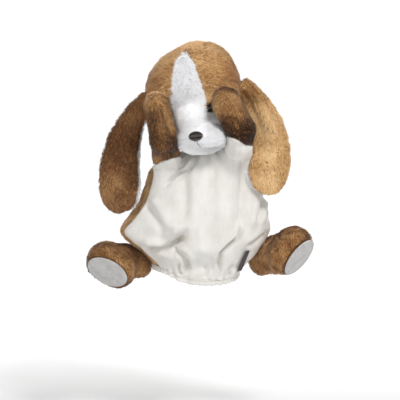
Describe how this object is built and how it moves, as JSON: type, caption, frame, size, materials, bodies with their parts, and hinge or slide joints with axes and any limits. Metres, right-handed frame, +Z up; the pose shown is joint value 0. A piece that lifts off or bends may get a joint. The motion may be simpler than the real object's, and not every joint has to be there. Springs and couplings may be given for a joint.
{
  "type": "hand puppet",
  "caption": "Plush puppy glove puppet: stuffed head with long floppy ears, finger-sleeve arms, gathered velour tunic with elastic hem and stuffed legs.",
  "frame": {"origin": "centre of the wrist opening, in the plane of the elasticated hem", "axes": "+Z up along the glove towards the head, -Y the way the puppet faces, +X to the puppet's left"},
  "size_m": [0.2428, 0.1268, 0.2584],
  "materials": {
    "plush_brown": "short curly pile",
    "plush_white": "short curly pile",
    "velour_cream": "soft velour",
    "velour_sole": "smooth velour",
    "embroidery_thread": "satin stitch",
    "stuffing": "loose polyester fibre",
    "lining_cloth": "plain weave",
    "elastic_band": "covered elastic",
    "woven_label": "woven tape"
  },
  "bodies": {
    "glove": {"tunic_front": "velour_cream", "back_panel": "plush_brown", "lining_front": "lining_cloth", "lining_back": "lining_cloth", "hem_casing": "velour_cream", "hem_elastic": "elastic_band", "side_label": "woven_label"},
    "neck": {"neck_binding": "velour_cream"},
    "head": {"head_filling": "stuffing", "head_finger_sleeve": "lining_cloth", "head_back": "plush_brown", "head_side_right": "plush_brown", "head_side_left": "plush_brown", "blaze_panel": "plush_white", "muzzle_panel": "plush_white", "chin_panel": "plush_white", "nose": "embroidery_thread", "mouth_stitch": "embroidery_thread", "eye_right": "embroidery_thread", "eye_left": "embroidery_thread"},
    "ear_right": {"ear_right_plush": "plush_brown", "ear_right_lining": "plush_white"},
    "ear_left": {"ear_left_plush": "plush_brown", "ear_left_lining": "plush_white"},
    "arm_right": {"arm_right_cover": "plush_brown", "paw_right_filling": "stuffing", "arm_right_finger_sleeve": "lining_cloth"},
    "arm_left": {"arm_left_cover": "plush_brown", "paw_left_filling": "stuffing", "arm_left_finger_sleeve": "lining_cloth"},
    "leg_right": {"leg_right_cover": "plush_brown", "leg_right_filling": "stuffing", "leg_right_sole": "velour_sole"},
    "leg_left": {"leg_left_cover": "plush_brown", "leg_left_filling": "stuffing", "leg_left_sole": "velour_sole"}
  },
  "joints": [
    {"name": "neck_turn", "type": "hinge", "parent": "glove", "child": "neck", "pos_m": [0.004, -0.003, 0.131], "axis": [0, 0, 1], "range_deg": [-4, 5]},
    {"name": "head_nod", "type": "hinge", "parent": "neck", "child": "head", "pos_m": [0.004, -0.003, 0.131], "axis": [-1, 0, 0], "range_deg": [-2, 10]},
    {"name": "ear_right_swing", "type": "hinge", "parent": "head", "child": "ear_right", "pos_m": [-0.056, 0, 0.188], "axis": [0, 1, 0], "range_deg": [0, 50]},
    {"name": "ear_left_swing", "type": "hinge", "parent": "head", "child": "ear_left", "pos_m": [0.049, -0.002, 0.2], "axis": [0, -1, 0], "range_deg": [0, 50]},
    {"name": "shoulder_right", "type": "hinge", "parent": "glove", "child": "arm_right", "pos_m": [-0.033, -0.016, 0.116], "axis": [0.8, -0.6, 0], "range_deg": [0, 42], "deforming": ["arm_right_cover"]},
    {"name": "shoulder_left", "type": "hinge", "parent": "glove", "child": "arm_left", "pos_m": [0.043, -0.015, 0.125], "axis": [0.8, 0.6, 0], "range_deg": [0, 42], "deforming": ["arm_left_cover"]},
    {"name": "hip_right", "type": "hinge", "parent": "glove", "child": "leg_right", "pos_m": [-0.067, 0.01, 0.01], "axis": [0, 1, 0], "range_deg": [-15, 10], "stiffness_Nm_per_rad": 0.11, "deforming": ["leg_right_cover"]},
    {"name": "hip_left", "type": "hinge", "parent": "glove", "child": "leg_left", "pos_m": [0.07, 0.01, 0.012], "axis": [0, -1, 0], "range_deg": [-15, 10], "stiffness_Nm_per_rad": 0.11, "deforming": ["leg_left_cover"]}
  ]
}
